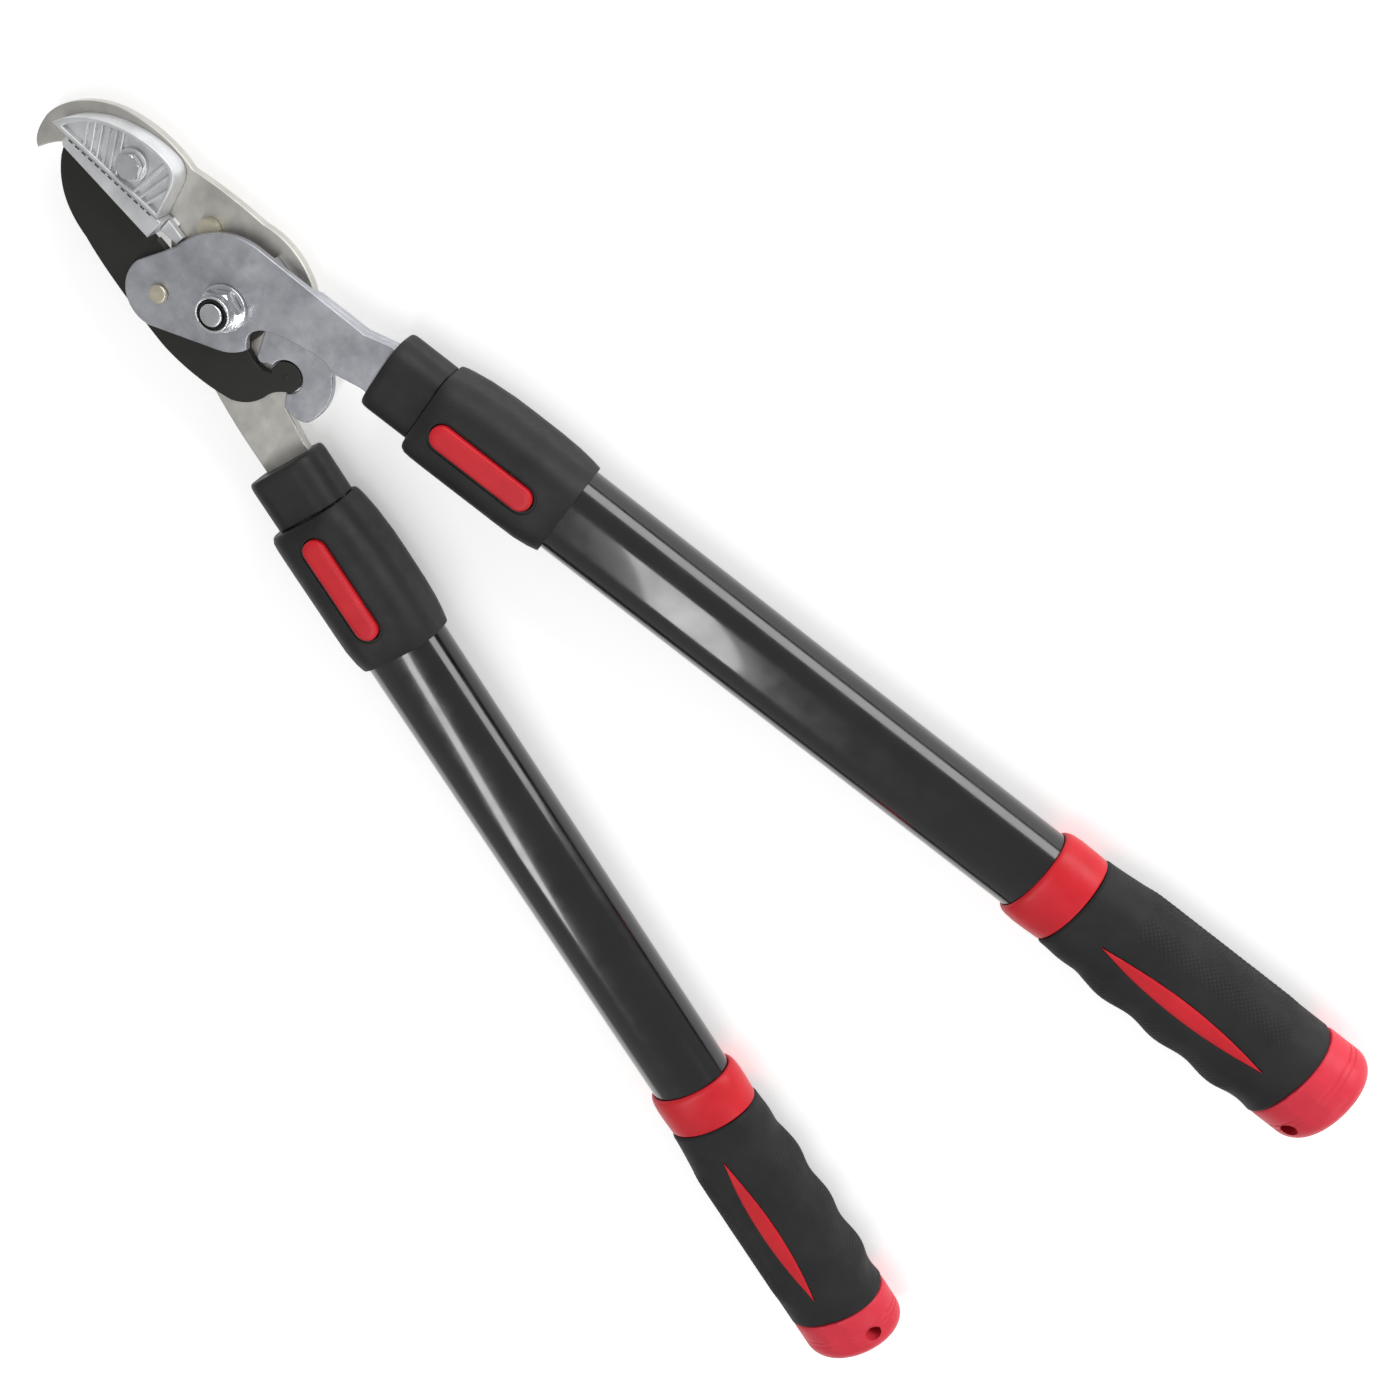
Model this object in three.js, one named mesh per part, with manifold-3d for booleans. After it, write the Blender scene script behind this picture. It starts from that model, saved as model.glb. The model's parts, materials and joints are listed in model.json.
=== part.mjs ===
// Telescopic anvil loppers, lying flat with the jaws shut and both handles collapsed.
// Millimetres, +Z up. The cutting plane is parallel to XY and the jaws point along +Y.
// Everything is first laid out around the pivot bolt's axis, then moved as one group, so that
// the origin is the middle of the underside of the whole tool.
import * as THREE from 'three';
import { mergeVertices } from 'three/addons/utils/BufferGeometryUtils.js';
import Module from 'manifold-3d';

const wasm = await Module();
wasm.setup();

// ---- Driving dimensions -------------------------------------------------------------------
const GAP = 0.3;                     // clearance between pieces that touch
const SHEET = 4;                     // thickness of the blade and of the right arm's two plates
const CARRIER_SHEET = 5;             // thickness of the anvil carrier
const ROUND = 28;                    // sides of a handle tube
const FINE = 16;                     // sides of a bolt, pin or hole

// Levels across the cutting plane, measured from the middle of the blade.
const BLADE_BACK = -SHEET / 2;
const BLADE_FRONT = SHEET / 2;
const FRONT_PLATE_BACK = BLADE_FRONT + GAP;
const FRONT_PLATE_FRONT = FRONT_PLATE_BACK + SHEET;
const CARRIER_FRONT = BLADE_BACK - GAP;
const CARRIER_BACK = CARRIER_FRONT - CARRIER_SHEET;

// The head, around the pivot bolt at 0, 0.
const BLADE_PIN = new THREE.Vector2(-18.9, 23.3);
const KNUCKLE = new THREE.Vector2(-3.6, -38.1);
const STOP_PIN = new THREE.Vector2(16.5, 27.5);
const ANVIL_BOLT = new THREE.Vector2(14.5, 66);
const CUT_X = -3.5;                  // the anvil's cutting face
const CUT_LOW = 42;                  // the cutting face runs from here...
const CUT_HIGH = 92.5;               // ...to here
const LOBE_R = 16.2;                 // front plate around the blade pin
const CROWN_R = 31.5;                // front plate above the pivot
const EYE_R = 18;                    // blade around the pivot
const KNUCKLE_R = 7;
const CLAW_R = 21.5;
const BOLT_R = 5;
const PIN_R = 4.1;
const STOP_R = 4.8;
const ANVIL_BOLT_R = 3;
const ANVIL_BOLT_ACROSS = 10;
const STRIP_BACK = -6.5;
const STRIP_FRONT = 8.5;
const HOLDER_FRONT = 9.5;

// The handles. Each has its own axis, turned from -Y and set off sideways from the pivot.
// Along a handle, u is the distance down its axis and v the distance out from it.
const HANDLE_TURN = THREE.MathUtils.degToRad(11.5);
const HANDLE_OFFSET = 21.5;
const FLATNESS = 0.744;              // thickness of every oval section over its width
const ARM_HALF = 12.4;
const SHOULDER = 71.5;                // the arm narrows to its tang here, inside the socket
const TANG_HALF = 9.5;
const ARM_END = 108;
const SOCKET = { start: 70, end: 94.5, width: 36.4, thick: 28.4, corner: 11 };
const HOUSING = { start: 94.8, end: 168, width: 46, thick: 40, corner: 15 };
const INNER_TUBE = { start: 73, end: 425, half: 16.8, wall: 1.6 };
const OUTER_TUBE = { start: 157, end: 584, half: 21.5, wall: 1.6 };
const COLLAR = { start: 429, end: 451.5, half: 24.4 };
const GRIP = { start: 451.8, end: 579.5, half: 28.5 };
const CAP = { start: 579.8, end: 606.5, half: 27.4 };
const PLUG = { start: 425.3, end: 437, spigot: 14 };
const BUTTON = { start: 102.5, end: 154.5, half: 5.7, bottom: 17, top: 22 };
const BUTTON_PIN = { u: 140, z: 18.6, radius: 1.2, half: 9 };
const PEG = { u: 112, radius: 2.1, bottom: 12.85 };
const SPRING = { u: 149, radius: 1.9, wire: 0.45, bottom: 15.2, top: 18.2 };
const LOCK_PITCH = 52;
const LOCK_HOLES = 6;
const INLAY = { start: 470, end: 563, half: 5 };
const HANG_HOLE = { u: 595, v: -16.5, radius: 3.8 };
const RIVET_U = 84;                  // the rivet that pins the tang inside the inner tube
const RIVET_R = 2.5;

const rad = THREE.MathUtils.degToRad;

// ---- Finishes -----------------------------------------------------------------------------
const finish = (color, roughness, metalness) => () =>
  new THREE.MeshStandardMaterial({ color, roughness, metalness });
const zinc = finish(0x9b9ea3, 0.38, 0.9);
const satin = finish(0xa9a59f, 0.42, 0.9);
const casting = finish(0xc4c6c6, 0.5, 0.8);
const brightZinc = finish(0xc9ccd0, 0.25, 1);
const brass = finish(0xb8a888, 0.4, 0.9);
const ptfe = finish(0x23231f, 0.45, 0.2);
const plastic = finish(0x222323, 0.6, 0);
const gloss = finish(0x0c0c0d, 0.15, 0.3);
const rubber = finish(0x1f1f20, 0.75, 0);
const red = finish(0xc8242d, 0.4, 0);

// ---- Solids -------------------------------------------------------------------------------
// Six times the volume inside a mesh, negative where its faces point in.
function signedVolume(positions, index) {
  const [a, b, c] = [new THREE.Vector3(), new THREE.Vector3(), new THREE.Vector3()];
  let sum = 0;
  for (let i = 0; i < index.length; i += 3) {
    a.fromArray(positions, 3 * index[i]);
    b.fromArray(positions, 3 * index[i + 1]);
    c.fromArray(positions, 3 * index[i + 2]);
    sum += a.dot(b.cross(c));
  }
  return sum;
}

// A closed geometry with shared vertices and its faces pointing out.
function closed(geometry) {
  const bare = geometry.clone();
  bare.deleteAttribute('normal');
  bare.deleteAttribute('uv');
  const merged = mergeVertices(bare, 1e-4);
  const index = merged.index.array;
  if (signedVolume(merged.attributes.position.array, index) < 0) {
    for (let i = 0; i < index.length; i += 3) [index[i], index[i + 1]] = [index[i + 1], index[i]];
  }
  return merged;
}

function solid(geometry) {
  const bare = closed(geometry);
  const vertProperties = new Float32Array(bare.attributes.position.array);
  const triVerts = new Uint32Array(bare.index.array);
  return new wasm.Manifold(new wasm.Mesh({ numProp: 3, vertProperties, triVerts }));
}

function geometryOf(manifold) {
  const mesh = manifold.getMesh();
  const geometry = new THREE.BufferGeometry();
  geometry.setAttribute('position', new THREE.BufferAttribute(mesh.vertProperties.slice(), 3));
  geometry.setIndex(new THREE.BufferAttribute(mesh.triVerts.slice(), 1));
  return geometry;
}

const cut = (base, ...tools) =>
  geometryOf(tools.reduce((rest, tool) => rest.subtract(solid(tool)), solid(base)));
const join = (base, ...others) =>
  geometryOf(others.reduce((sum, other) => sum.add(solid(other)), solid(base)));
const common = (one, two) => geometryOf(solid(one).intersect(solid(two)));

// A flat plate: an outline in XY between two levels.
function plate(shape, back, front, curveSegments = 6) {
  const depth = front - back;
  const flat = new THREE.ExtrudeGeometry(shape, { depth, bevelEnabled: false, curveSegments });
  return flat.translate(0, 0, back);
}

// A pin, bolt or hole along Z.
function rod(radius, back, front, x, y, sides = FINE) {
  const length = front - back;
  const bar = new THREE.CylinderGeometry(radius, radius, length, sides);
  return bar.rotateX(Math.PI / 2).translate(x, y, (back + front) / 2);
}

function ringShape(outer, inner) {
  const shape = new THREE.Shape().absarc(0, 0, outer, 0, 2 * Math.PI);
  shape.holes.push(new THREE.Path().absarc(0, 0, inner, 0, 2 * Math.PI, true));
  return shape;
}

// A body turned about a handle's axis and then flattened: u and radius pairs.
function turned(profile, sides = ROUND) {
  const points = profile.map(([u, radius]) => new THREE.Vector2(radius, -u));
  return new THREE.LatheGeometry(points, sides).scale(1, 1, FLATNESS);
}

function tube(start, end, outer, inner, sides = ROUND) {
  return turned([[start, inner], [start, outer], [end, outer], [end, inner], [start, inner]], sides);
}

const bar = (start, end, half) => turned([[start, 0], [start, half], [end, half], [end, 0]]);

// An outline across the handle, pushed along it from u = start to u = end.
function along(shape, start, end, bevel = 0) {
  const options = { depth: end - start - 2 * bevel, curveSegments: 4, bevelEnabled: bevel > 0 };
  Object.assign(options, { bevelThickness: bevel, bevelSize: bevel, bevelSegments: 1 });
  options.bevelOffset = -bevel;
  const run = new THREE.ExtrudeGeometry(shape, options);
  return run.translate(0, 0, bevel).rotateX(Math.PI / 2).translate(0, -start, 0);
}

function roundedBox(width, height, corner) {
  const x = width / 2 - corner;
  const y = height / 2 - corner;
  const shape = new THREE.Shape();
  shape.absarc(x, y, corner, 0, Math.PI / 2);
  shape.absarc(-x, y, corner, Math.PI / 2, Math.PI);
  shape.absarc(-x, -y, corner, Math.PI, 1.5 * Math.PI);
  shape.absarc(x, -y, corner, 1.5 * Math.PI, 2 * Math.PI);
  return shape;
}

// A slot-shaped outline in the handle's own XY plane, round at both ends.
function slotShape(start, end, half, x = 0) {
  const shape = new THREE.Shape();
  shape.absarc(x, -start - half, half, 0, Math.PI);
  shape.absarc(x, -end + half, half, Math.PI, 2 * Math.PI);
  return shape;
}

function box(width, length, height, x, y, z) {
  return new THREE.BoxGeometry(width, length, height).translate(x, y, z);
}

// ---- The group ----------------------------------------------------------------------------
const loppers = new THREE.Group();

function add(name, geometry, material, parent = loppers) {
  const mesh = new THREE.Mesh(closed(geometry), material());
  mesh.name = name;
  parent.add(mesh);
  return mesh;
}

// The place in the plane of a point of a handle. side is 1 for the right one, -1 for the left.
function onHandle(side, u, v) {
  const across = new THREE.Vector2(Math.cos(HANDLE_TURN), Math.sin(HANDLE_TURN));
  const down = new THREE.Vector2(Math.sin(HANDLE_TURN), -Math.cos(HANDLE_TURN));
  const place = across.multiplyScalar(HANDLE_OFFSET + v).add(down.multiplyScalar(u));
  return new THREE.Vector2(side * place.x, place.y);
}

const lineThrough = (shape, points) => points.forEach((point) => shape.lineTo(point.x, point.y));
const xy = (x, y) => new THREE.Vector2(x, y);

// ---- Head: the anvil side, which is the left arm ------------------------------------------
// The seam between the holder and the strip leans away from the cutting face.
const SEAM_TOP = xy(1.5, CUT_HIGH);
const SEAM_LOW = xy(6.4, CUT_LOW);

function carrierShape() {
  const shape = new THREE.Shape();
  shape.moveTo(-19.2, 101.4);                       // hook tip
  shape.quadraticCurveTo(-17, 106.6, -5, 107.3);    // over the hook
  shape.bezierCurveTo(8, 106.5, 20, 95, 24.5, 84);  // back of the jaw
  shape.bezierCurveTo(29, 73, 31, 61, 28.7, 49);    // waist behind the holder
  shape.quadraticCurveTo(33.5, 34, 36.2, 13.2);
  shape.absarc(0, 0, 38.5, rad(20), rad(-42), true);  // round shoulder
  shape.quadraticCurveTo(14, -36, -4, -38);
  const left = (u, v) => onHandle(-1, u, v);
  lineThrough(shape, [xy(-17, -48), left(66, -ARM_HALF), left(SHOULDER, -ARM_HALF)]);
  lineThrough(shape, [left(SHOULDER, -TANG_HALF), left(ARM_END, -TANG_HALF)]);
  lineThrough(shape, [left(ARM_END, TANG_HALF), left(SHOULDER, TANG_HALF)]);
  lineThrough(shape, [left(SHOULDER, ARM_HALF), left(64, ARM_HALF)]);
  shape.quadraticCurveTo(-42, -34, -36, -16);
  shape.bezierCurveTo(-32, 2, -20, 24, SEAM_LOW.x - 6, CUT_LOW - 4);
  lineThrough(shape, [xy(SEAM_LOW.x + GAP, CUT_LOW - 4), xy(SEAM_LOW.x + GAP, SEAM_LOW.y)]);
  lineThrough(shape, [xy(SEAM_TOP.x + GAP, CUT_HIGH + GAP), xy(-8.8, CUT_HIGH + 3)]);
  shape.quadraticCurveTo(-12, 98.5, -19.2, 101.4);
  return shape;
}

const pivotHole = rod(BOLT_R + GAP, CARRIER_BACK - 1, FRONT_PLATE_FRONT + 1, 0, 0);
const anvilHole = rod(ANVIL_BOLT_R + GAP, CARRIER_BACK - 1, HOLDER_FRONT, ANVIL_BOLT.x, ANVIL_BOLT.y);
const stopHole = rod(STOP_R - 1, CARRIER_BACK - 1, CARRIER_FRONT + 1, STOP_PIN.x, STOP_PIN.y);
const carrier = plate(carrierShape(), CARRIER_BACK, CARRIER_FRONT);
const leftRivetAt = onHandle(-1, RIVET_U, 0);
const leftRivetHole = rod(RIVET_R + GAP, CARRIER_BACK - 1, CARRIER_FRONT + 1, leftRivetAt.x, leftRivetAt.y);
add('anvil_carrier', cut(carrier, pivotHole, anvilHole, stopHole, leftRivetHole), satin);

// The cast holder: a half lens with a rim, a ribbed pocket and a boss around its bolt.
function holderShape(inset) {
  const shape = new THREE.Shape();
  const lean = (SEAM_LOW.x - SEAM_TOP.x) / (CUT_HIGH - CUT_LOW);
  const seamX = (y) => SEAM_LOW.x - lean * (y - CUT_LOW) + GAP + inset;
  const low = 44 + inset;
  const high = 100.5 - 2.4 * inset;
  shape.moveTo(seamX(low), low);
  shape.lineTo(seamX(high), high);
  shape.bezierCurveTo(13 - inset, 96 - inset, 20 - inset, 86, 24 - inset, 77);
  shape.bezierCurveTo(27.5 - inset, 69, 29 - inset, 61, 28.4 - inset, 55 + inset);
  shape.quadraticCurveTo(27.5 - inset, 49 + inset, 20, 47.4 + inset);
  return shape;
}

const HOLDER_BACK = CARRIER_FRONT + GAP;
const POCKET_FLOOR = 6.2;
const RIB_TOP = 8.4;
const RIM = 2.2;
const pocket = plate(holderShape(RIM), POCKET_FLOOR, HOLDER_FRONT + 1);
const ribs = [];
for (let y = 51; y < 98; y += 4.6) {
  ribs.push(box(30, 1.5, RIB_TOP - POCKET_FLOOR + 1, 16, y, (RIB_TOP + POCKET_FLOOR - 1) / 2));
}
const ribBand = plate(holderShape(RIM / 2), POCKET_FLOOR - 1, RIB_TOP);
const ribSet = common(join(...ribs), ribBand);
const boss = rod(7, POCKET_FLOOR - 1, RIB_TOP + 0.4, ANVIL_BOLT.x, ANVIL_BOLT.y);
const holderBlank = plate(holderShape(0), HOLDER_BACK, HOLDER_FRONT);
const holderBody = join(cut(holderBlank, pocket), ribSet, boss);
const stripSeat = rod(ANVIL_BOLT_R + GAP, HOLDER_BACK - 1, HOLDER_FRONT + 1, ANVIL_BOLT.x, ANVIL_BOLT.y);
add('anvil_holder', cut(holderBody, stripSeat), casting);

const stripShape = new THREE.Shape();
lineThrough(stripShape.moveTo(CUT_X, CUT_LOW), [xy(CUT_X, CUT_HIGH - 1), xy(CUT_X + 1, CUT_HIGH)]);
lineThrough(stripShape, [xy(SEAM_TOP.x - GAP, CUT_HIGH), xy(SEAM_LOW.x - GAP, CUT_LOW)]);
add('anvil_strip', plate(stripShape, STRIP_BACK, STRIP_FRONT), casting);

// The strip's tang, a short tab under its low end that the strip's rivet holds.
const tabShape = new THREE.Shape();
tabShape.moveTo(-0.4, CUT_LOW - GAP);
lineThrough(tabShape, [xy(6, CUT_LOW - GAP), xy(5, CUT_LOW - 9.5), xy(1, CUT_LOW - 9.5)]);
add('strip_tab', plate(tabShape, CARRIER_FRONT + GAP, 1.9), casting);

const boltHead = (x, y, across, back, front) => rod(across / Math.sqrt(3), back, front, x, y, 6);
const anvilShank = rod(ANVIL_BOLT_R, CARRIER_BACK - 6.5, HOLDER_FRONT + 1, ANVIL_BOLT.x, ANVIL_BOLT.y);
const anvilHex = (back, front) => boltHead(ANVIL_BOLT.x, ANVIL_BOLT.y, ANVIL_BOLT_ACROSS, back, front);
const anvilHead = anvilHex(RIB_TOP + 0.4 + GAP, HOLDER_FRONT + 3);
add('anvil_bolt', join(anvilShank, anvilHead), brightZinc);
const anvilNut = anvilHex(CARRIER_BACK - 5, CARRIER_BACK - GAP);
add('anvil_nut', cut(anvilNut, rod(ANVIL_BOLT_R + GAP, -20, 0, ANVIL_BOLT.x, ANVIL_BOLT.y)), brightZinc);

// The stop pin stands on the carrier at blade level and ends the opening of the jaws.
const stopHead = rod(STOP_R, CARRIER_FRONT + GAP, BLADE_FRONT - GAP, STOP_PIN.x, STOP_PIN.y);
const stopShank = rod(STOP_R - 1 - GAP, CARRIER_BACK + 0.2, BLADE_BACK + 1, STOP_PIN.x, STOP_PIN.y);
add('stop_pin', join(stopShank, stopHead), brass);

// ---- Head: the blade side, which is the right arm -----------------------------------------
const arm = (u, v) => onHandle(1, u, v);
const tangCorners = () => [
  ...[68, SHOULDER].map((u) => arm(u, ARM_HALF)),
  ...[SHOULDER, ARM_END].map((u) => arm(u, TANG_HALF)),
  ...[ARM_END, SHOULDER].map((u) => arm(u, -TANG_HALF)),
  ...[SHOULDER, 64].map((u) => arm(u, -ARM_HALF)),
];

function frontPlateShape() {
  const shape = new THREE.Shape();
  shape.absarc(BLADE_PIN.x, BLADE_PIN.y, LOBE_R, rad(200), rad(80), true);
  shape.absarc(0, 0, CROWN_R, rad(86), rad(10), true);
  lineThrough(shape, [xy(36, -22), xy(40.8, -48), ...tangCorners(), xy(17, -51), xy(17.8, -44)]);
  shape.quadraticCurveTo(13.5, -29, 7.2, -19.4);
  shape.quadraticCurveTo(0.5, -11.5, -6.2, -18.6);  // scoop above the claw's finger
  shape.absarc(0, 0, 20, rad(250), rad(213), true);
  return shape;
}

function clawShape() {
  const shape = new THREE.Shape();
  shape.absarc(0, 0, CROWN_R, rad(0), rad(-20), true);
  lineThrough(shape, [xy(36, -24), xy(40.8, -48), ...tangCorners(), xy(17.2, -50)]);
  shape.absarc(KNUCKLE.x, KNUCKLE.y, CLAW_R, rad(-38), rad(-112), true);
  shape.quadraticCurveTo(-15.8, -54, -14.4, -46.5);
  shape.absarc(KNUCKLE.x, KNUCKLE.y, KNUCKLE_R + GAP + 0.2, rad(-140), rad(100));
  shape.absarc(-5.3, -25.3, 2.8, rad(250), rad(95), true);
  shape.absarc(0, 0, EYE_R + GAP, rad(-72), rad(0));
  return shape;
}

function bladeShape() {
  const shape = new THREE.Shape();
  shape.moveTo(CUT_X - GAP - 0.2, 94.5);
  lineThrough(shape, [xy(CUT_X - GAP - 0.2, CUT_LOW), xy(CUT_X - 1, CUT_LOW - 11)]);
  shape.absarc(0, 0, EYE_R, rad(75), rad(-115), true);
  shape.quadraticCurveTo(-10.6, -22, -10.2, -28.8);
  shape.absarc(KNUCKLE.x, KNUCKLE.y, KNUCKLE_R, rad(128), rad(-140), true);
  shape.quadraticCurveTo(-13, -38.4, -17.5, -37.9);
  shape.quadraticCurveTo(-27, -36.5, -32, -28.5);
  shape.bezierCurveTo(-37, -16, -39, 0, -38.2, 10);
  shape.bezierCurveTo(-36, 32, -33, 50, -29.4, 62);
  shape.bezierCurveTo(-27, 77, -20, 88, CUT_X - GAP - 0.2, 94.5);
  return shape;
}

const rightRivetAt = onHandle(1, RIVET_U, 0);
const rightRivetHole = rod(RIVET_R + GAP, -20, 20, rightRivetAt.x, rightRivetAt.y);
const pinHole = rod(PIN_R - 0.8, BLADE_BACK - 1, FRONT_PLATE_FRONT + 1, BLADE_PIN.x, BLADE_PIN.y);

const frontPlate = plate(frontPlateShape(), FRONT_PLATE_BACK, FRONT_PLATE_FRONT);
add('front_plate', cut(frontPlate, pivotHole, pinHole, rightRivetHole), zinc);
const clawPlate = plate(clawShape(), BLADE_BACK, BLADE_FRONT);
add('claw_plate', cut(clawPlate, rightRivetHole), zinc);

// Both flats of the blade fall to the cutting edge over this width.
const BEVEL_WIDTH = 8;
const EDGE_HALF = 0.25;
function bevelCut(side) {
  const shape = new THREE.Shape();
  const edge = CUT_X - GAP;
  lineThrough(shape.moveTo(edge + 1, side * EDGE_HALF), [xy(edge + 1, side * 4)]);
  lineThrough(shape, [xy(edge - BEVEL_WIDTH - 1.2, side * (SHEET / 2 + 0.2)), xy(edge, side * EDGE_HALF)]);
  const wedge = new THREE.ExtrudeGeometry(shape, { depth: 60, bevelEnabled: false });
  return wedge.rotateX(Math.PI / 2).translate(0, CUT_LOW + 58, 0);
}
const bladeBlank = plate(bladeShape(), BLADE_BACK, BLADE_FRONT);
add('blade', cut(bladeBlank, pivotHole, pinHole, bevelCut(1), bevelCut(-1)), ptfe);

const pinShank = rod(PIN_R - 0.8 - GAP, BLADE_BACK + 0.2, FRONT_PLATE_FRONT + 1, BLADE_PIN.x, BLADE_PIN.y);
const pinHead = rod(PIN_R, FRONT_PLATE_FRONT + GAP, FRONT_PLATE_FRONT + 2.6, BLADE_PIN.x, BLADE_PIN.y);
add('blade_pin', join(pinShank, pinHead), brass);

// ---- Pivot: a hex bolt from the back, a washer and a locking nut with a nylon ring ----------
const WASHER = { thick: 1.8, radius: 10.4 };
const NUT = { across: 16.4, thick: 6.5, collar: 7.9, collarThick: 3.6 };
const washerBack = FRONT_PLATE_FRONT + GAP;
const nutBack = washerBack + WASHER.thick + GAP;
const nutFront = nutBack + NUT.thick;
const collarFront = nutFront + NUT.collarThick;
const shank = rod(BOLT_R, CARRIER_BACK - 2, collarFront + 1.2, 0, 0);
const head = boltHead(0, 0, 16, CARRIER_BACK - GAP - 6.2, CARRIER_BACK - GAP);
add('pivot_bolt', join(shank, head), brightZinc);
const washerShape = ringShape(WASHER.radius, BOLT_R + GAP);
add('pivot_washer', plate(washerShape, washerBack, washerBack + WASHER.thick), brightZinc);
const nutHex = boltHead(0, 0, NUT.across, nutBack, nutFront);
const nutCollar = rod(NUT.collar, nutFront - 0.5, collarFront, 0, 0);
const nutBore = rod(BOLT_R + GAP, nutBack - 1, collarFront + 1, 0, 0);
const ringSeat = rod(6.7, nutFront + 0.6, collarFront + 1, 0, 0);
add('pivot_nut', cut(join(nutHex, nutCollar), nutBore, ringSeat), brightZinc);
add('nut_ring', plate(ringShape(6.7 - GAP, BOLT_R + GAP), nutFront + 0.6 + GAP, collarFront), plastic);

// ---- Handles ------------------------------------------------------------------------------
// The grip's outline seen from the front: four finger waves on the inner side, plain outside.
function gripOutline(side) {
  const points = [];
  const waves = 4;
  const phase = 0.28;
  const steps = 24;
  for (let i = 0; i <= steps; i += 1) {
    const t = i / steps;
    const swell = 24.3 + 1.6 * Math.min(1, 4 * t) + 1.3 * t;
    const wave = Math.cos(2 * Math.PI * (waves * t + phase)) * Math.min(1, 5 * t);
    points.push(xy(-side * (swell - wave), -THREE.MathUtils.lerp(GRIP.start - 1, GRIP.end + 1, t)));
  }
  points.push(xy(side * 26.4, -(GRIP.end + 1)));
  points.push(xy(side * 26.4, -(GRIP.start + 26)));
  points.push(xy(side * 24.4, -(GRIP.start - 1)));
  return new THREE.Shape(points);
}

function inlayShape(grow) {
  const shape = new THREE.Shape();
  const middle = -(INLAY.start + INLAY.end) / 2;
  const reach = 2 * (INLAY.half + grow);
  shape.moveTo(0, -INLAY.start + grow);
  shape.quadraticCurveTo(reach, middle, 0, -INLAY.end - grow);
  shape.quadraticCurveTo(-reach, middle, 0, -INLAY.start + grow);
  return shape;
}

const INLAY_DEPTH = 16.8;

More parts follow.
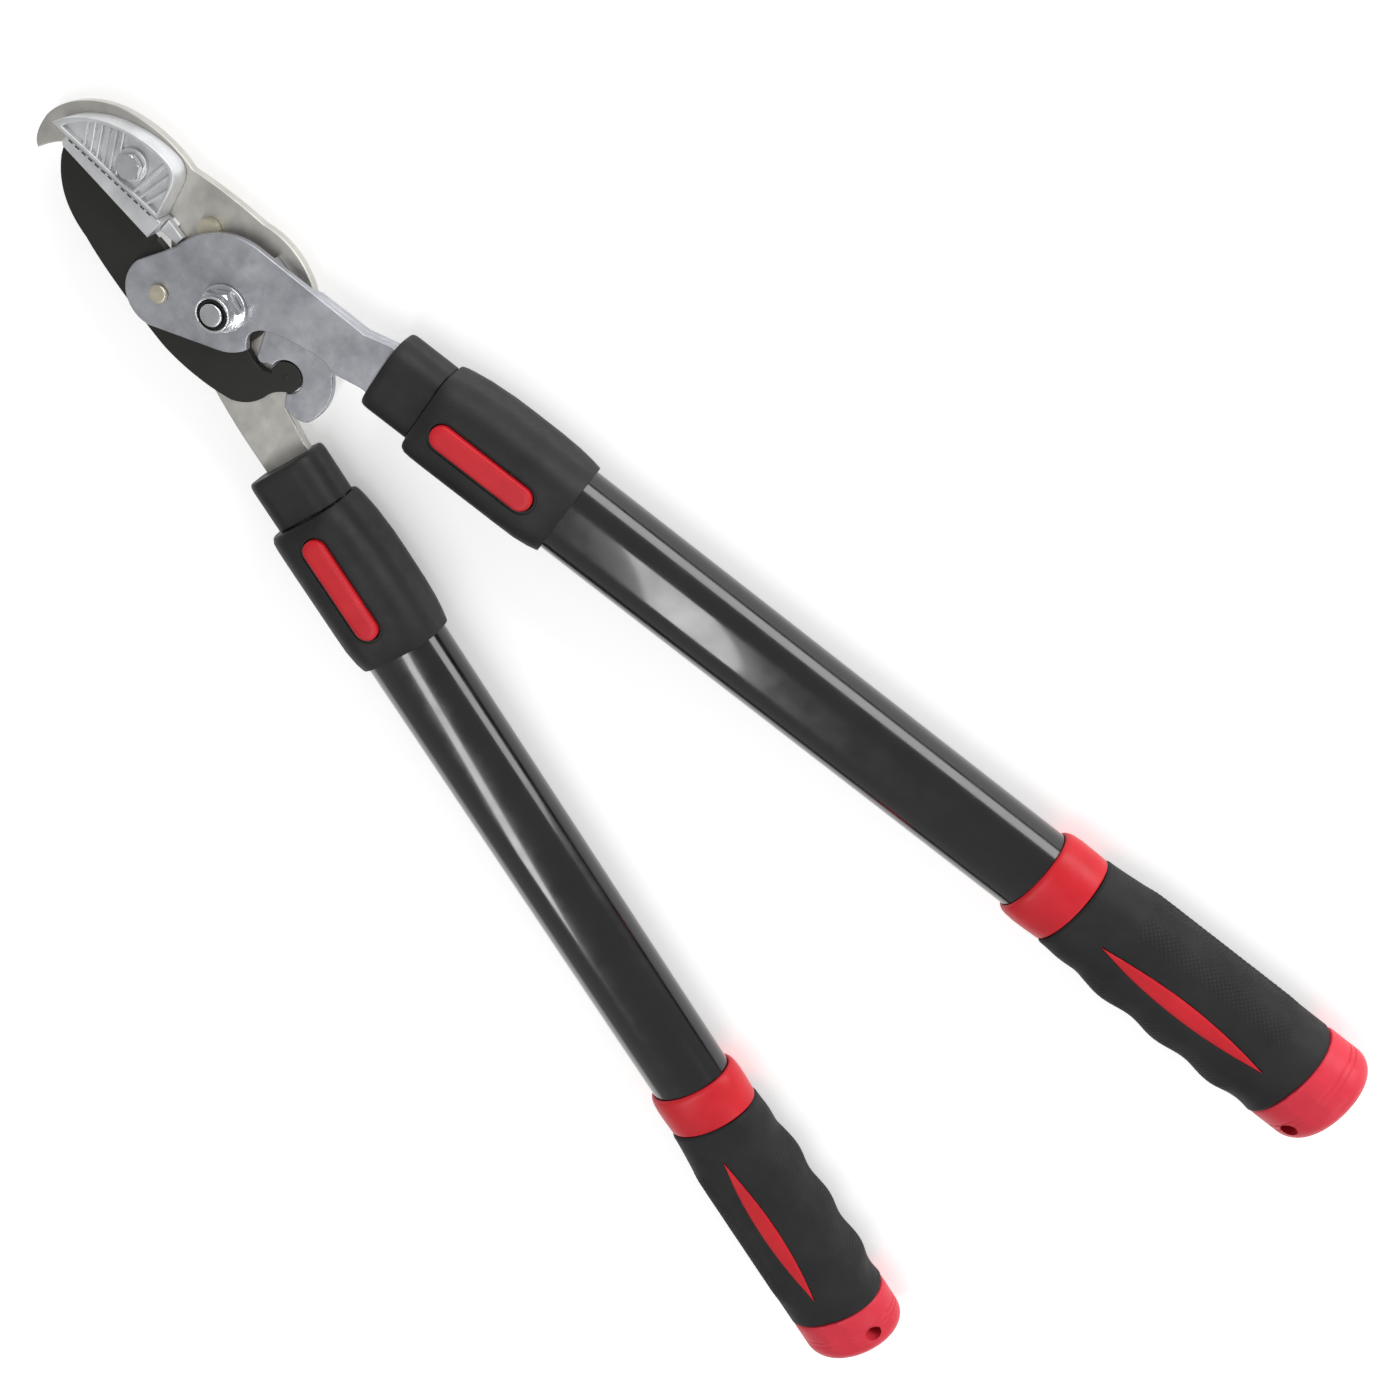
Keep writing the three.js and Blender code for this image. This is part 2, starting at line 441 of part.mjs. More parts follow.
function handle(side, name) {
  const slide = new THREE.Group();
  slide.rotation.z = side * HANDLE_TURN;
  const root = onHandle(side, 0, 0);
  slide.position.set(root.x, root.y, 0);
  loppers.add(slide);
  const put = (piece, geometry, material) => add(`${name}_${piece}`, geometry, material, slide);

  // What stays with the arm.
  const armBack = side > 0 ? BLADE_BACK : CARRIER_BACK;
  const armFront = side > 0 ? FRONT_PLATE_FRONT : CARRIER_FRONT;
  const armThick = armFront - armBack + 2 * GAP;
  const armLevel = (armFront + armBack) / 2;
  const armSlot = box(2 * (ARM_HALF + GAP), 40, armThick, 0, 20 - SHOULDER - GAP, armLevel);
  const tang = box(2 * (TANG_HALF + GAP), 80, armThick, 0, -SHOULDER, armLevel);
  const socketShape = roundedBox(SOCKET.width, SOCKET.thick, SOCKET.corner);
  const socketBlank = along(socketShape, SOCKET.start, SOCKET.end, 1);
  const tubeSeat = bar(INNER_TUBE.start - GAP, SOCKET.end + 5, INNER_TUBE.half + GAP);
  const rivetHole = rod(RIVET_R + GAP, -15, 15, 0, -RIVET_U, 12);
  put('socket', cut(socketBlank, tubeSeat, armSlot, tang), plastic);
  const insert = bar(INNER_TUBE.start + GAP, ARM_END + 3, INNER_TUBE.half - INNER_TUBE.wall - GAP);
  put('arm_insert', cut(insert, tang, rivetHole), plastic);
  const holes = [rivetHole];
  for (let i = 0; i < LOCK_HOLES; i += 1) {
    holes.push(rod(2.6, 6, 20, 0, -(PEG.u + i * LOCK_PITCH), 12));
  }
  const innerBore = INNER_TUBE.half - INNER_TUBE.wall;
  const innerTube = tube(INNER_TUBE.start, INNER_TUBE.end, INNER_TUBE.half, innerBore);
  put('inner_tube', cut(innerTube, ...holes), zinc);
  const plugFlange = bar(PLUG.start, PLUG.end, OUTER_TUBE.half - OUTER_TUBE.wall - 2 * GAP);
  const spigotHalf = innerBore - GAP;
  put('slide_plug', join(bar(PLUG.start - PLUG.spigot, PLUG.start + 1, spigotHalf), plugFlange), plastic);
  const rivetReach = FLATNESS * INNER_TUBE.half - 0.2;
  put('tang_rivet', rod(RIVET_R, -rivetReach, rivetReach, 0, -RIVET_U, 12), brightZinc);

  // What slides out with the grip.
  const housingShape = roundedBox(HOUSING.width, HOUSING.thick, HOUSING.corner);
  const housingBlank = along(housingShape, HOUSING.start, HOUSING.end, 2.5);
  const bore = bar(HOUSING.start - 5, HOUSING.end + 5, INNER_TUBE.half + GAP);
  const seat = bar(OUTER_TUBE.start - GAP, HOUSING.end + 5, OUTER_TUBE.half + GAP);
  const slotOutline = slotShape(BUTTON.start - 0.6, BUTTON.end + 0.6, BUTTON.half + 0.5);
  const slot = plate(slotOutline, BUTTON.bottom - 2.1, 30);
  const pegSlot = plate(slotShape(PEG.u - 4, PEG.u + 4, PEG.radius + 0.6), 5, 30);
  const { u, z, radius, half } = BUTTON_PIN;
  const across = (r, reach) => {
    const pin = new THREE.CylinderGeometry(r, r, 2 * reach, 16);
    return pin.rotateZ(Math.PI / 2).translate(0, -u, z);
  };
  const pinSeat = across(radius + GAP, half + GAP);
  put('lock_housing', cut(housingBlank, bore, seat, slot, pegSlot, pinSeat), plastic);
  put('lock_pin', across(radius, half), brightZinc);

  const buttonBlank = plate(slotShape(BUTTON.start, BUTTON.end, BUTTON.half), BUTTON.bottom, BUTTON.top);
  const peg = rod(PEG.radius, PEG.bottom, BUTTON.bottom + 1, 0, -PEG.u, 16);
  const springSeat = rod(SPRING.radius + 0.5, BUTTON.bottom - 1, BUTTON.bottom + 2.2, 0, -SPRING.u, 16);
  put('lock_button', cut(join(buttonBlank, peg), across(radius + GAP, 20), springSeat), red);
  const springRing = ringShape(SPRING.radius, SPRING.radius - 2 * SPRING.wire);
  put('lock_spring', plate(springRing, SPRING.bottom, SPRING.top).translate(0, -SPRING.u, 0), brightZinc);

  const outerInner = OUTER_TUBE.half - OUTER_TUBE.wall;
  put('outer_tube', tube(OUTER_TUBE.start, OUTER_TUBE.end, OUTER_TUBE.half, outerInner), gloss);
  const seatHalf = OUTER_TUBE.half + GAP;
  const { start: c0, end: c1, half: ch } = COLLAR;
  const collarProfile = [[c0, seatHalf], [c0, ch - 1], [c0 + 2, ch], [c1, ch], [c1, seatHalf]];
  put('grip_collar', turned([...collarProfile, [c0, seatHalf]]), red);
  const gripBlank = tube(GRIP.start, GRIP.end, GRIP.half, seatHalf);
  const gripSides = plate(gripOutline(side), -40, 40);
  const inlayCuts = [[INLAY_DEPTH - GAP, 40], [-40, -INLAY_DEPTH + GAP]];
  const cuts = inlayCuts.map(([back, front]) => plate(inlayShape(GAP), back, front));
  const flats = [box(80, 200, 10, 0, -520, 25), box(80, 200, 10, 0, -520, -25)];
  put('grip', cut(common(gripBlank, gripSides), ...cuts, ...flats), rubber);
  put('inlay_front', plate(inlayShape(0), INLAY_DEPTH, 20.6), red);
  put('inlay_back', plate(inlayShape(0), -19.6, -INLAY_DEPTH), red);

  const { start, end, half: capHalf } = CAP;
  const spigot = outerInner - GAP;
  const outside = OUTER_TUBE.end + GAP;
  const capProfile = [[outside - 24, 0], [outside - 24, spigot], [outside, spigot], [outside, seatHalf]];
  capProfile.push([start, seatHalf], [start, capHalf - 0.6], [start + 2, capHalf]);
  const rounding = 3;
  for (let i = 0; i <= rounding; i += 1) {
    const angle = (i / rounding) * (Math.PI / 2);
    const reach = capHalf - 9 + 8 * Math.cos(angle);
    capProfile.push([end - 9 + 9 * Math.sin(angle), reach]);
  }
  capProfile.push([end, 0]);
  const hangHole = rod(HANG_HOLE.radius, -40, 40, side * HANG_HOLE.v, -HANG_HOLE.u, 20);
  const capFlats = [box(80, 80, 10, 0, -(start + 20), 25), box(80, 80, 10, 0, -(start + 20), -25)];
  put('end_cap', cut(turned(capProfile), hangHole, ...capFlats), red);
}

handle(-1, 'left');
handle(1, 'right');

// Stand the tool on its lowest faces, with the middle of its underside at the origin.
loppers.updateMatrixWorld(true);
const extent = new THREE.Box3().setFromObject(loppers);
const centre = extent.getCenter(new THREE.Vector3());
loppers.position.set(-centre.x, -centre.y, -extent.min.z);
loppers.updateMatrixWorld(true);

export default loppers;
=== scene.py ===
import json
import math

import bmesh
import bpy
from mathutils import Matrix, Vector


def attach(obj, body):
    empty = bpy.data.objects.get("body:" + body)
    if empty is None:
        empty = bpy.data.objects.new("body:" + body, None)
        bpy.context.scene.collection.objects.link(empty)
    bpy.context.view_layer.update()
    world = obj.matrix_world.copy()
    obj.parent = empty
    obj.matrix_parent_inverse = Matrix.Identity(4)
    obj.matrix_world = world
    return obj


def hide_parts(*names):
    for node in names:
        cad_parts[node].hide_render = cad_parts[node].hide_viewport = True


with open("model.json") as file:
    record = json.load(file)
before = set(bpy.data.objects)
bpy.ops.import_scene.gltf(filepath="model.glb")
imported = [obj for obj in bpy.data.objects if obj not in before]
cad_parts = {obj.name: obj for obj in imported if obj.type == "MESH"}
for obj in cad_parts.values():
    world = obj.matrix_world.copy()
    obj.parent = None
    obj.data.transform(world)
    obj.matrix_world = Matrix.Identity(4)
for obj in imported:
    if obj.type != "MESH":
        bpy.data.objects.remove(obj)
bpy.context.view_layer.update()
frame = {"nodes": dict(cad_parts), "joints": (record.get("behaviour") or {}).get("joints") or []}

# ---- Dimensions: millimetres, around the pivot bolt unless said otherwise --------------------
MM = 0.001
GAP = 0.3
PIVOT = Vector(next(j for j in frame["joints"] if j["name"] == "jaw_pivot")["pos_m"])
HANDLE_TURN = math.radians(11.5)
HANDLE_OFFSET = 21.5
FLATNESS = 0.744                     # thickness of an oval section over its width
BLADE_PIN = (-18.9, 23.3)
KNUCKLE = (-3.6, -38.1)
KNUCKLE_R = 7.0
CLAW_R = 21.5
CROWN_R = 31.5
EYE_R = 18.0
ANVIL_BOLT = (14.5, 66.0)
CUT_X = -3.5
CUT_LOW = 42.0
CUT_HIGH = 92.5
SEAM_LOW = 6.4
SEAM_TOP = 1.5
ARM_HALF = 12.4
SHOULDER = 71.5
TANG_HALF = 9.5
ARM_END = 108.0
LEVELS = {                           # back and front of each plate, from the blade's middle
    "blade": (-2.0, 2.0),
    "front_plate": (2.3, 6.3),
    "carrier": (-7.3, -2.3),
}
SOCKET = dict(start=70.0, end=94.5, width=36.4, thick=28.4, corner=11.0)
HOUSING = dict(start=94.8, end=168.0, width=46.0, thick=40.0, corner=15.0)
OUTER_TUBE = dict(start=157.0, end=584.0, half=21.5)
INNER_TUBE_BORE = 17.1               # half-width of the bores that the inner tube runs in
OUTER_TUBE_BORE = 21.8               # half-width of the bores that the outer tube sits in
COLLAR = dict(start=429.0, end=451.5, half=24.4)
GRIP = dict(start=451.8, end=579.5)
CAP = dict(start=579.8, end=606.5, half=27.4, half_thick=19.9)
BUTTON = dict(start=102.5, end=154.5, half=5.7, bottom=17.0, top=22.0)
INLAY = dict(start=470.0, end=563.0, half=4.6)
RIBS = (                             # height and lean in degrees of each rib in the holder
    (90.5, 28), (86.9, 28), (83.3, 28), (79.7, 28), (76.1, 28), (72.5, 28),
    (57.5, -6), (53.6, -10), (49.7, -14),
)
HANG_HOLE = dict(u=595.0, v=-16.5, radius=3.8)
LOCK_PEG = dict(u=112.0, radius=2.1, low=12.85, high=17.2)
SPRING = dict(u=149.0, radius=1.55, wire=0.3, low=15.5, length=2.4)
PIVOT_HOLE_R = 5.3
PIN_HOLE_R = 3.3
WASHER = dict(radius=10.4, thick=1.8)
NUT = dict(across=16.4, thick=6.5, turn=12)
NUT_COLLAR = dict(radius=7.9, bore=6.7, height=3.6)
NYLON_RING = dict(radius=6.5, bore=5.2)
PIVOT_BOLT = dict(radius=5.0, across=16.0, head=6.2, tail=-9.0)
PIN_HEAD = dict(radius=4.1, height=2.6)
ANVIL_HEX = 10.0                     # across the flats of the anvil's bolt head and nut

SHEEN_OF_PLASTICS = 0.25             # specular level of the moulded and painted parts


# ---- Materials -------------------------------------------------------------------------------
def new_material(name, color, roughness, metallic=0.0):
    """A principled material; returns it with its node tree and shader."""
    mat = bpy.data.materials.new(name)
    mat.use_nodes = True
    tree = mat.node_tree
    shader = tree.nodes["Principled BSDF"]
    shader.inputs["Base Color"].default_value = (*color, 1)
    shader.inputs["Roughness"].default_value = roughness
    shader.inputs["Metallic"].default_value = metallic
    if metallic == 0.0:
        shader.inputs["Specular IOR Level"].default_value = SHEEN_OF_PLASTICS
    return mat, tree, shader


def noise(tree, scale, detail=4.0, roughness=0.55):
    coords = tree.nodes.new("ShaderNodeTexCoord")
    node = tree.nodes.new("ShaderNodeTexNoise")
    node.inputs["Scale"].default_value = scale
    node.inputs["Detail"].default_value = detail
    node.inputs["Roughness"].default_value = roughness
    tree.links.new(coords.outputs["Object"], node.inputs["Vector"])
    return node.outputs["Fac"]


def voronoi(tree, scale):
    coords = tree.nodes.new("ShaderNodeTexCoord")
    node = tree.nodes.new("ShaderNodeTexVoronoi")
    node.inputs["Scale"].default_value = scale
    tree.links.new(coords.outputs["Object"], node.inputs["Vector"])
    return node.outputs["Distance"]


def ramp(tree, factor, stops):
    node = tree.nodes.new("ShaderNodeValToRGB")
    elements = node.color_ramp.elements
    while len(elements) < len(stops):
        elements.new(0.5)
    for element, (place, value) in zip(elements, stops):
        element.position = place
        element.color = (*value, 1) if isinstance(value, tuple) else (value, value, value, 1)
    tree.links.new(factor, node.inputs["Fac"])
    return node.outputs["Color"]


def bump(tree, shader, height, distance, strength=1.0):
    node = tree.nodes.new("ShaderNodeBump")
    node.inputs["Strength"].default_value = strength
    node.inputs["Distance"].default_value = distance
    tree.links.new(height, node.inputs["Height"])
    tree.links.new(node.outputs["Normal"], shader.inputs["Normal"])


def product(tree, one, two):
    node = tree.nodes.new("ShaderNodeMath")
    node.operation = "MULTIPLY"
    tree.links.new(one, node.inputs[0])
    tree.links.new(two, node.inputs[1])
    return node.outputs[0]


def mixed(tree, factor, one, two):
    node = tree.nodes.new("ShaderNodeMix")
    node.data_type = "RGBA"
    tree.links.new(factor, node.inputs["Factor"])
    for socket, value in (("A", one), ("B", two)):
        slot = next(s for s in node.inputs if s.name == socket and s.type == "RGBA")
        if isinstance(value, tuple):
            slot.default_value = (*value, 1)
        else:
            tree.links.new(value, slot)
    return next(s for s in node.outputs if s.type == "RGBA")


def plated(name, dark, light, roughness, spangle, metallic=0.85):
    """Zinc-plated steel: broad mottling, fine crystals and a few bright specks."""
    mat, tree, shader = new_material(name, light, roughness, metallic)
    cloud = ramp(tree, noise(tree, 60, 6, 0.65), [(0.32, dark), (0.68, light)])
    specks = ramp(tree, voronoi(tree, spangle), [(0.0, 1.0), (0.09, 0.0)])
    patches = ramp(tree, noise(tree, 95, 2), [(0.52, 0.0), (0.62, 1.0)])
    bright = tuple(min(1.0, c * 1.5) for c in light)
    color = mixed(tree, product(tree, specks, patches), cloud, bright)
    tree.links.new(color, shader.inputs["Base Color"])
    rough = ramp(tree, noise(tree, 140, 5), [(0.3, roughness - 0.07), (0.7, roughness + 0.1)])
    tree.links.new(rough, shader.inputs["Roughness"])
    bump(tree, shader, noise(tree, 900, 6), 0.00008, 0.35)
    return mat


def cast_metal():
    mat, tree, shader = new_material("die_casting", (0.7, 0.71, 0.72), 0.42, 0.75)
    cloud = ramp(tree, noise(tree, 80, 5), [(0.3, (0.56, 0.57, 0.58)), (0.7, (0.78, 0.79, 0.8))])
    tree.links.new(cloud, shader.inputs["Base Color"])
    bump(tree, shader, noise(tree, 700, 5), 0.0001, 0.5)
    return mat


def coated_blade():
    mat, tree, shader = new_material("blade_coating", (0.018, 0.018, 0.015), 0.42, 0.0)
    shader.inputs["Coat Weight"].default_value = 0.15
    shader.inputs["Coat Roughness"].default_value = 0.35
    flecks = ramp(tree, voronoi(tree, 1500), [(0.0, 1.0), (0.12, 0.0)])
    thin = ramp(tree, noise(tree, 300, 3), [(0.55, 0.0), (0.7, 0.35)])
    worn = product(tree, flecks, thin)
    color = mixed(tree, worn, (0.018, 0.018, 0.015), (0.16, 0.16, 0.15))
    tree.links.new(color, shader.inputs["Base Color"])
    rough = ramp(tree, noise(tree, 120, 4), [(0.3, 0.36), (0.7, 0.5)])
    tree.links.new(rough, shader.inputs["Roughness"])
    bump(tree, shader, noise(tree, 1300, 4), 0.00006, 0.5)
    return mat


def moulded(name, dark, light, roughness, grain=900, depth=0.00007):
    """Moulded plastic or rubber with a spark-eroded texture."""
    mat, tree, shader = new_material(name, light, roughness)
    color = ramp(tree, noise(tree, 45, 5), [(0.3, dark), (0.7, light)])
    tree.links.new(color, shader.inputs["Base Color"])
    rough = ramp(tree, noise(tree, 160, 4), [(0.3, roughness - 0.05), (0.7, roughness + 0.06)])
    tree.links.new(rough, shader.inputs["Roughness"])
    bump(tree, shader, noise(tree, grain, 5), depth, 0.6)
    return mat


def enamel():
    mat, tree, shader = new_material("black_enamel", (0.004, 0.004, 0.0045), 0.16, 0.0)
    shader.inputs["Specular IOR Level"].default_value = 0.5
    shader.inputs["Coat Weight"].default_value = 0.5
    shader.inputs["Coat Roughness"].default_value = 0.05
    rough = ramp(tree, noise(tree, 70, 4), [(0.3, 0.13), (0.7, 0.22)])
    tree.links.new(rough, shader.inputs["Roughness"])
    tones = [(0.3, (0.003, 0.003, 0.0035)), (0.7, (0.006, 0.006, 0.0065))]
    color = ramp(tree, noise(tree, 30, 3), tones)
    tree.links.new(color, shader.inputs["Base Color"])
    bump(tree, shader, noise(tree, 120, 3), 0.00005, 0.15)
    return mat


MAT = {
    "zinc": plated("galvanised_steel", (0.33, 0.34, 0.37), (0.5, 0.51, 0.54), 0.36, 900),
    "satin": plated("satin_steel", (0.46, 0.45, 0.42), (0.62, 0.6, 0.56), 0.4, 1400),
    "bright": plated("bright_zinc", (0.6, 0.61, 0.63), (0.78, 0.79, 0.81), 0.2, 1800, 1.0),
    "brass": plated("yellow_zinc", (0.5, 0.46, 0.36), (0.64, 0.6, 0.48), 0.34, 1500),
    "tube": plated("drawn_tube", (0.4, 0.41, 0.42), (0.52, 0.53, 0.54), 0.3, 1600),
    "cast": cast_metal(),
    "blade": coated_blade(),
    "plastic": moulded("black_plastic", (0.012, 0.0125, 0.012), (0.02, 0.0205, 0.02), 0.5),
    "rubber": moulded("grip_rubber", (0.011, 0.0112, 0.0115), (0.018, 0.018, 0.0185), 0.62, 1200),
    "red": moulded("red_plastic", (0.5, 0.012, 0.02), (0.6, 0.018, 0.028), 0.38, 700, 0.00004),
    "cap": moulded("cap_plastic", (0.56, 0.026, 0.045), (0.66, 0.036, 0.06), 0.42, 700, 0.00004),
    "enamel": enamel(),
    "nylon": moulded("nylon_ring", (0.008, 0.008, 0.008), (0.012, 0.012, 0.012), 0.45),
    "dark": moulded("pocket_shadow", (0.004, 0.004, 0.004), (0.006, 0.006, 0.006), 0.7),
}


# ---- Outlines --------------------------------------------------------------------------------
class Outline:
    """A closed outline in XY, built from lines, arcs and Bezier curves."""

    def __init__(self, *points):
        self.points = list(points)

    def line(self, *points):
        self.points.extend(points)
        return self

    def arc(self, x, y, r, start, end, steps=40):
        for i in range(steps + 1):
            a = math.radians(start + (end - start) * i / steps)
            self.points.append((x + r * math.cos(a), y + r * math.sin(a)))
        return self

    def bezier(self, *controls, steps=20):
        knots = [self.points[-1], *controls]
        order = len(knots) - 1
        for i in range(1, steps + 1):
            t = i / steps
            weights = [math.comb(order, k) * t**k * (1 - t) ** (order - k) for k in range(order + 1)]
            x = sum(w * k[0] for w, k in zip(weights, knots))
            y = sum(w * k[1] for w, k in zip(weights, knots))
            self.points.append((x, y))
        return self


def circle(x, y, r, steps=48):
    return Outline().arc(x, y, r, 0, 360 - 360 / steps, steps - 1).points


def on_handle(side, u, v):
    across = (math.cos(HANDLE_TURN), math.sin(HANDLE_TURN))
    down = (math.sin(HANDLE_TURN), -math.cos(HANDLE_TURN))
    x = across[0] * (HANDLE_OFFSET + v) + down[0] * u
    y = across[1] * (HANDLE_OFFSET + v) + down[1] * u
    return (side * x, y)


def tang_corners(side):
    inner = [(SHOULDER, -ARM_HALF), (66, -ARM_HALF)]
    outer = [(68, ARM_HALF), (SHOULDER, ARM_HALF), (SHOULDER, TANG_HALF), (ARM_END, TANG_HALF)]
    tail = [(ARM_END, -TANG_HALF), (SHOULDER, -TANG_HALF)]
    return [on_handle(side, u, v) for u, v in outer + tail + inner]


# ---- Meshes ----------------------------------------------------------------------------------
def finish_mesh(obj, finish, body, node=None, angle=35):
    """Gives a piece its finish and its body, and hides the CAD node that it stands for."""
    mesh = obj.data
    mesh.materials.clear()
    mesh.materials.append(MAT[finish])
    mesh.shade_smooth()
    mesh.set_sharp_from_angle(angle=math.radians(angle))
    weighted = obj.modifiers.new("flat_faces_stay_flat", "WEIGHTED_NORMAL")
    weighted.mode = "FACE_AREA"
    weighted.weight = 100
    weighted.keep_sharp = True
    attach(obj, body)
    if node:
        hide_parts(node)


def to_object(name, data):
    obj = bpy.data.objects.new(name, data)
    bpy.context.scene.collection.objects.link(obj)
    return obj


def baked(obj, name):
    """The object with its modifiers or curve settings applied, as a plain mesh object."""
    bpy.context.view_layer.update()
    graph = bpy.context.evaluated_depsgraph_get()
    mesh = bpy.data.meshes.new_from_object(obj.evaluated_get(graph))
    bpy.data.objects.remove(obj, do_unlink=True)
    mesh.name = name
    return to_object(name, mesh)


def weld(obj, distance=1e-6):
    work = bmesh.new()
    work.from_mesh(obj.data)
    bmesh.ops.remove_doubles(work, verts=work.verts, dist=distance)
    bmesh.ops.recalc_face_normals(work, faces=work.faces)
    work.to_mesh(obj.data)
    work.free()
    return obj


def plate(name, points, back, front, holes=(), edge=0.5):
    """A sheet-metal plate: an outline with holes, pushed through, with rounded edges."""
    curve = bpy.data.curves.new(name, "CURVE")
    curve.dimensions = "2D"
    curve.fill_mode = "BOTH"
    for ring in [points, *holes]:
        spline = curve.splines.new("POLY")
        spline.points.add(len(ring) - 1)
        for point, (x, y) in zip(spline.points, ring):
            point.co = (x * MM, y * MM, 0, 1)
        spline.use_cyclic_u = True
    curve.extrude = ((front - back) / 2 - edge) * MM
    curve.bevel_depth = edge * MM
    curve.bevel_resolution = 2
    curve.offset = -edge * MM
    obj = weld(baked(to_object(name, curve), name))
    middle = Vector((0, 0, (front + back) / 2 * MM))
    obj.data.transform(Matrix.Translation(PIVOT + middle))
    return obj


def handle_matrix(side):
    place = Vector((*on_handle(side, 0, 0), 0)) * MM
    return Matrix.Translation(PIVOT + place) @ Matrix.Rotation(side * HANDLE_TURN, 4, "Z")


def grid(name, rows, closed_rows=False):
    """A skin over rows of points in millimetres; each row is a ring around the part."""
    work = bmesh.new()
    rings = [[work.verts.new(Vector(p) * MM) for p in row] for row in rows]
    pairs = list(zip(rings, rings[1:]))
    if closed_rows:
        pairs.append((rings[-1], rings[0]))
    for one, two in pairs:
        for i in range(len(one)):
            j = (i + 1) % len(one)
            work.faces.new((one[i], one[j], two[j], two[i]))
    if not closed_rows:
        for ring in (rings[0], rings[-1]):
            work.faces.new(ring)
    bmesh.ops.remove_doubles(work, verts=work.verts, dist=1e-7)
    bmesh.ops.recalc_face_normals(work, faces=work.faces)
    mesh = bpy.data.meshes.new(name)
    work.to_mesh(mesh)
    work.free()
    return to_object(name, mesh)


def oval_ring(half, u, sides, side=1):
    """A ring of the handle's oval section at u, with its given half-width."""
    angles = [2 * math.pi * i / sides for i in range(sides)]
    return [(half * math.cos(a) * side, -u, FLATNESS * half * math.sin(a)) for a in angles]


def turned(name, profile, side, closed_rows=False):
    """A body turned about a handle's axis and flattened; profile is u and half-width pairs."""
    rows = [oval_ring(half, u, 128) for u, half in profile]
    obj = grid(name, rows, closed_rows)
    obj.data.transform(handle_matrix(side))
    return obj


def rounded_section(width, thick, corner, per_corner=12):
    ring = []
    for k, (sx, sz) in enumerate(((1, 1), (-1, 1), (-1, -1), (1, -1))):
        for i in range(per_corner + 1):
            a = math.radians(90 * (k + i / per_corner))
            x = sx * (width / 2 - corner) + corner * math.cos(a)
            z = sz * (thick / 2 - corner) + corner * math.sin(a)
            ring.append((x, z))
    return ring


def cut(obj, *tools):
    """Takes the tools' volume out of the object."""
    for tool in tools:
        modifier = obj.modifiers.new("cut", "BOOLEAN")
        modifier.operation = "DIFFERENCE"
        modifier.solver = "EXACT"
        modifier.object = tool
    result = baked(obj, obj.name)
    for tool in tools:
        bpy.data.objects.remove(tool, do_unlink=True)
    return result


def trimmed(obj, tool, name):
    """Keeps only what lies inside the tool."""
    modifier = obj.modifiers.new("trim", "BOOLEAN")
    modifier.operation = "INTERSECT"
    modifier.solver = "EXACT"
    modifier.object = tool
    result = baked(obj, name)
    bpy.data.objects.remove(tool, do_unlink=True)
    return result


def rounded(obj, width, angle):
    modifier = obj.modifiers.new("round", "BEVEL")
    modifier.width = width * MM
    modifier.segments = 2
    modifier.limit_method = "ANGLE"
    modifier.angle_limit = math.radians(angle)
    modifier.harden_normals = False
    return baked(obj, obj.name)


def prism(name, ring, low, high, matrix):
    """A straight-sided solid over an outline in XY, between two levels."""
    rows = [[(x, y, z) for x, y in ring] for z in (low, high)]
    obj = grid(name, rows)
    obj.data.transform(matrix)
    return obj


def slot_ring(start, end, half, steps=16):
    out = Outline().arc(0, -start - half, half, 0, 180, steps)
    return out.arc(0, -end + half, half, 180, 360, steps).points


# ---- Head ------------------------------------------------------------------------------------
def seam_x(y):
    """The seam between the anvil strip and its holder, at height y."""
    return SEAM_LOW - (SEAM_LOW - SEAM_TOP) / (CUT_HIGH - CUT_LOW) * (y - CUT_LOW)


def carrier_outline():
    def left(u, v):
        return on_handle(-1, u, v)

    out = Outline((-19.2, 101.4)).bezier((-17, 106.6), (-5, 107.3))
    out.bezier((8, 106.5), (20, 95), (24.5, 84))
    out.bezier((29, 73), (31, 61), (28.7, 49)).bezier((33.5, 34), (36.2, 13.2))
    out.arc(0, 0, 38.5, 20, -42).bezier((14, -36), (-4, -38)).line((-17, -48), left(66, -ARM_HALF))
    out.line(left(SHOULDER, -ARM_HALF), left(SHOULDER, -TANG_HALF), left(ARM_END, -TANG_HALF))
    out.line(left(ARM_END, TANG_HALF), left(SHOULDER, TANG_HALF))
    out.line(left(SHOULDER, ARM_HALF), left(64, ARM_HALF))
    out.bezier((-42, -34), (-36, -16)).bezier((-32, 2), (-20, 24), (SEAM_LOW - 6, CUT_LOW - 4))
    out.line((SEAM_LOW + GAP, CUT_LOW - 4), (SEAM_LOW + GAP, CUT_LOW))
    out.line((SEAM_TOP + GAP, CUT_HIGH + GAP))
    return out.line((-8.8, CUT_HIGH + 3)).bezier((-12, 98.5), (-19.2, 101.4)).points[:-1]


def front_plate_outline():
    out = Outline().arc(*BLADE_PIN, 16.2, 200, 80).arc(0, 0, CROWN_R, 86, 10)
    out.line((36, -22), (40.8, -48), *tang_corners(1), (17, -51), (17.8, -44))
    out.bezier((13.5, -29), (7.2, -19.4)).bezier((0.5, -11.5), (-6.2, -18.6))
    return out.arc(0, 0, 20, 250, 213).points


def claw_outline():
    out = Outline().arc(0, 0, CROWN_R, 0, -20).line((36, -24), (40.8, -48), *tang_corners(1), (17.2, -50))
    out.arc(*KNUCKLE, CLAW_R, -38, -112).bezier((-15.8, -54), (-14.4, -46.5))
    out.arc(*KNUCKLE, KNUCKLE_R + GAP + 0.2, -140, 100).arc(-5.3, -25.3, 2.8, 250, 95)
    return out.arc(0, 0, EYE_R + GAP, -72, 0).points


